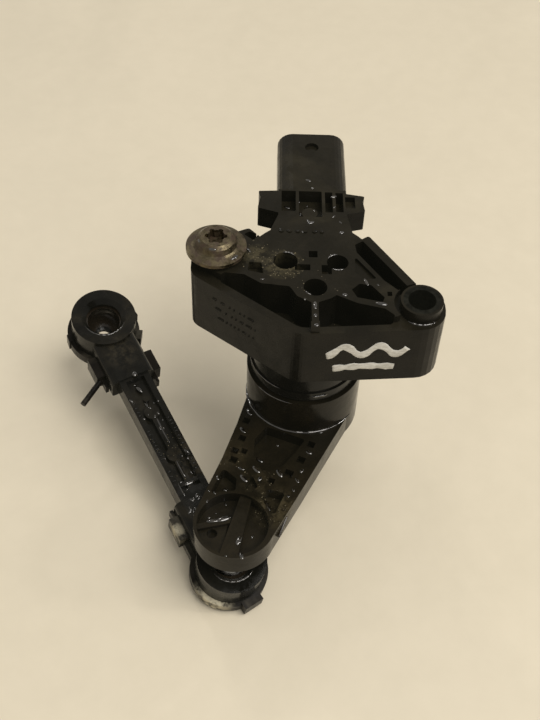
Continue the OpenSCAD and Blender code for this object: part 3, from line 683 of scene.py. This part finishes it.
# Wet streaks on the link rod: along, across, length, width, direction
ROD_STREAKS = [
    (59, -0.4, 1.8, 1.5, 120), (55, 0, 2.8, 1.2, 140), (50.6, -0.1, 3, 1.1, 120),
    (40.8, -0.4, 9, 0.7, 120), (28.8, 0.2, 6, 0.7, 120), (23.9, 0, 3.2, 1, 30),
    (23, 2.8, 4.4, 0.5, 120), (19.5, 0.1, 1.4, 1.1, 90)
]
# Grit on the arm: along, across, radius, number of grains
ARM_GRIT = [(38, 8, 5, 60), (28, -8, 5, 20), (33, 1, 5, 24)]
# Grit on the housing's top: centre, radius, number of grains
TOP_GRIT = [(left_hole, 5.5, 90), (lug_bridge, 5, 40), (front_hole, 6, 24)]


def on_plateau(x, y):
    """A point in millimetres across the housing's plateau."""
    return Vector((x * MM, y * MM, housing_top))


def drops_and_grit():
    """Every piece draws from the one generator, so their order matters."""
    draw = random.Random(23)
    above = UP * ABOVE

    drops = bmesh.new()
    scatter(drops, housing_surface, draw, 9, disc_pick(on_plateau(0, 0), 17 * MM), DOWN, (0.3, 0.75))
    scatter(drops, housing_surface, draw, 14, disc_pick(on_plateau(0, 23), 11 * MM), DOWN, (0.3, 0.8))
    for x, y, *streak in TOP_STREAKS:
        place_glint(drops, housing_surface, on_plateau(x, y) + above, DOWN, *streak)
    finish_piece("housing_drops", drops, DROP, "sensor")

    drops = bmesh.new()
    for x, y, *streak in BOLT_STREAKS:
        place_glint(drops, bolt_surface, on_plateau(x, y) + above, DOWN, *streak)
    finish_piece("bolt_drops", drops, DROP, "sensor")

    drops = bmesh.new()
    scatter(drops, arm_surface, draw, 46, disc_pick(on_arm(32, 0, arm_top), 24 * MM), DOWN, (0.4, 1.0))
    for along, across, *streak in ARM_STREAKS:
        place_glint(drops, arm_surface, on_arm(along, across, arm_top) + above, DOWN, *streak)
    finish_piece("arm_drops", drops, DROP, "lever")

    drops = bmesh.new()
    scatter(drops, rod_surface, draw, 40, rod_pick(14, 58, 4), -rod_up, (0.3, 0.7))
    for along, across, *streak in ROD_STREAKS:
        place_glint(drops, rod_surface, on_rod(along, across, ABOVE_ROD), -rod_up, *streak)
    finish_piece("rod_drops", drops, DROP, "link")

    grit = bmesh.new()
    for centre, radius, count in TOP_GRIT:
        scatter(grit, housing_surface, draw, count, disc_pick(centre, radius * MM), DOWN, (0.1, 0.35), True)
    finish_piece("housing_grit", grit, GRIT, "sensor")

    grit = bmesh.new()
    for along, across, radius, count in ARM_GRIT:
        pick = disc_pick(on_arm(along, across, arm_top), radius * MM)
        scatter(grit, arm_surface, draw, count, pick, DOWN, (0.1, 0.32), True)
    finish_piece("arm_grit", grit, GRIT, "lever")

    grit = bmesh.new()
    scatter(grit, rod_surface, draw, 36, rod_pick(22, 40, 4), -rod_up, (0.1, 0.3), True)
    finish_piece("rod_grit", grit, GRIT, "link")


# ---------------------------------------------------------------- beads of water, and the dark bar

# Two axes of a circle's plane and the axis at right angles to it
LEVEL = (Vector((1, 0, 0)), Vector((0, 1, 0)), UP)
ROD = (rod_along, rod_side, rod_up)


def add_arc_bead(mesh, centre, axes, radius, span, bead):
    """A bead of water along part of a circle, thinning out at both ends.

    The radius and the bead's thickness are in millimetres, the span in degrees.
    """
    first, last = span
    steps = max(8, int((last - first) / 3))
    sides = 8
    rings = []
    for i in range(steps + 1):
        turn = math.radians(first + (last - first) * i / steps)
        out = axes[0] * math.cos(turn) + axes[1] * math.sin(turn)
        thick = bead * MM * min(1, 5 * (i + 0.3) / steps, 5 * (steps - i + 0.3) / steps)
        thick *= 1 + 0.18 * math.sin(i * 1.3)
        ring = []
        for k in range(sides):
            angle = math.tau * k / sides
            spot = centre + out * (radius * MM + thick * math.cos(angle))
            ring.append(mesh.verts.new(spot + axes[2] * thick * math.sin(angle)))
        rings.append(ring)
    close_rings(mesh, rings)


# Wet edges of the core holes: x, y, depth, radius, from and to in degrees, thickness
HOLE_BEADS = [
    (-6.2, 2.2, 0, 2.9, (44, 104), 0.26), (6.3, 2, 0, 2.65, (88, 150), 0.28),
    (6.3, 2, 0, 2.6, (236, 304), 0.26), (0.8, -6.5, 0.1, 2.7, (206, 250), 0.26)
]


def beads():
    """Wet edges of the hub, the skirt, the right lug, the core holes and the sockets' mouths."""
    mesh = bmesh.new()
    add_arc_bead(mesh, UP * arm_top, LEVEL, 15.05, (172, 328), 0.42)
    add_arc_bead(mesh, UP * (arm_high.z - 0.1 * MM), LEVEL, 14.9, (213, 262), 0.2)
    finish_piece("hub_beads", mesh, DROP, "lever")

    skirt_bottom = arm_high.z + 0.8 * MM
    mesh = bmesh.new()
    add_arc_bead(mesh, UP * (skirt_bottom + 2.6 * MM), LEVEL, 14.1, (207, 243), 0.2)
    add_arc_bead(mesh, UP * (skirt_bottom + 1.4 * MM), LEVEL, 14.2, (276, 293), 0.34)
    finish_piece("skirt_beads", mesh, DROP, "sensor")

    lug = Vector(mounts["right_lug_hole"]["pos_m"])
    mesh = bmesh.new()
    add_arc_bead(mesh, Vector((lug.x, lug.y, housing_top - 2 * MM)), LEVEL, 5.1, (228, 312), 0.3)
    for x, y, depth, radius, span, bead in HOLE_BEADS:
        add_arc_bead(mesh, Vector((x * MM, y * MM, housing_top - depth * MM)), LEVEL, radius, span, bead)
    finish_piece("housing_beads", mesh, DROP, "sensor")

    mouth_height = 4.8
    mesh = bmesh.new()
    add_arc_bead(mesh, on_rod(0, 0, mouth_height), ROD, 6, (104, 216), 0.3)
    add_arc_bead(mesh, far_ball + rod_up * mouth_height * MM, ROD, 6, (92, 236), 0.2)
    finish_piece("mouth_beads", mesh, DROP, "link")


def arm_dark_bar():
    """A thin dark bar laid on the arm's side wall, where a dark slit shows."""
    # A dark bar put where the side wall shows a dark slit
    first, _ = land(arm_surface, on_arm(38.3, 30, arm_top - 1.5 * MM), -arm_side)
    last, _ = land(arm_surface, on_arm(43.6, 30, arm_top - 3.6 * MM), -arm_side)
    along = last - first
    mesh = bmesh.new()
    add_pad(mesh, (first + last) / 2, arm_side, along.normalized(), along.length, 0.6 * MM, 0.5 * MM)
    finish_piece("arm_dark_bar", mesh, MATERIALS["liner_plastic"], "lever")


beads()
arm_dark_bar()
drops_and_grit()

# ---------------------------------------------------------------- floor, light and camera

FLOOR_SIZE = 6.0
LAMP_COLOUR = (1.0, 0.96, 0.9)
LAMP_TARGET = Vector((0, 0, -0.01))


def floor_material():
    """A pale painted table, a little clouded."""
    s = Shader("table_top")
    veins = s.noise(9, 7, 0.6, 1.2)
    grain = s.noise(140, 4, 0.6)
    tone = s.maths("ADD", s.maths("MULTIPLY", veins, 0.7), s.maths("MULTIPLY", grain, 0.3))
    s.set(Base_Color=s.mix(s.ramp(tone, 0.3, 0.7), rgb(0.655, 0.592, 0.462), rgb(0.705, 0.638, 0.502)))
    s.set(Roughness=s.ramp(veins, 0.3, 0.7, 0.45, 0.6))
    s.bumps((veins, 0.5 * MM, 0.05))
    return s.material


def make_floor():
    """A floor at the lowest point of the frame's box."""
    lowest = cad_box[0][2]
    bpy.ops.mesh.primitive_plane_add(size=FLOOR_SIZE, location=(0, 0, lowest))
    floor = bpy.context.object
    floor.name = "floor"
    floor.data.materials.append(floor_material())


def soft_light(name, at, size, power):
    """A round lamp that looks at the object; size in metres, power in watts."""
    data = bpy.data.lights.new(name, "AREA")
    data.shape = "DISK"
    data.size = size
    data.energy = power
    data.color = LAMP_COLOUR
    lamp = bpy.data.objects.new(name, data)
    lamp.location = at
    lamp.rotation_euler = (LAMP_TARGET - Vector(at)).to_track_quat("-Z", "Y").to_euler()
    bpy.context.scene.collection.objects.link(lamp)


def make_light():
    soft_light("key_light", (0.45, -0.3, 1.1), 0.9, 12)
    soft_light("side_light", (0.95, -0.1, 0.55), 0.14, 1.5)
    soft_light("back_light", (-0.35, 0.8, 0.8), 0.12, 1.0)
    world = bpy.data.worlds.new("room")
    world.use_nodes = True
    background = world.node_tree.nodes["Background"]
    background.inputs["Color"].default_value = rgb(1.0, 0.96, 0.89)
    background.inputs["Strength"].default_value = 0.44
    bpy.context.scene.world = world


def make_camera():
    """The camera looks 48.9 degrees down, almost along +Y, tipped a little clockwise."""
    position = Vector((-13.2, -185.7, 198.1)) * MM
    azimuth = math.radians(1.3)
    elevation = math.radians(48.9)
    roll = math.radians(2.4)
    data = bpy.data.cameras.new("camera")
    data.lens = 54
    data.sensor_width = 36
    data.clip_start = 0.01
    camera = bpy.data.objects.new("camera", data)
    turn = Matrix.Rotation(-azimuth, 4, "Z") @ Matrix.Rotation(math.pi / 2 - elevation, 4, "X")
    camera.matrix_world = Matrix.Translation(position) @ turn @ Matrix.Rotation(roll, 4, "Z")
    bpy.context.scene.collection.objects.link(camera)
    bpy.context.scene.camera = camera


make_floor()
make_light()
make_camera()
bpy.context.scene.view_settings.view_transform = "Standard"
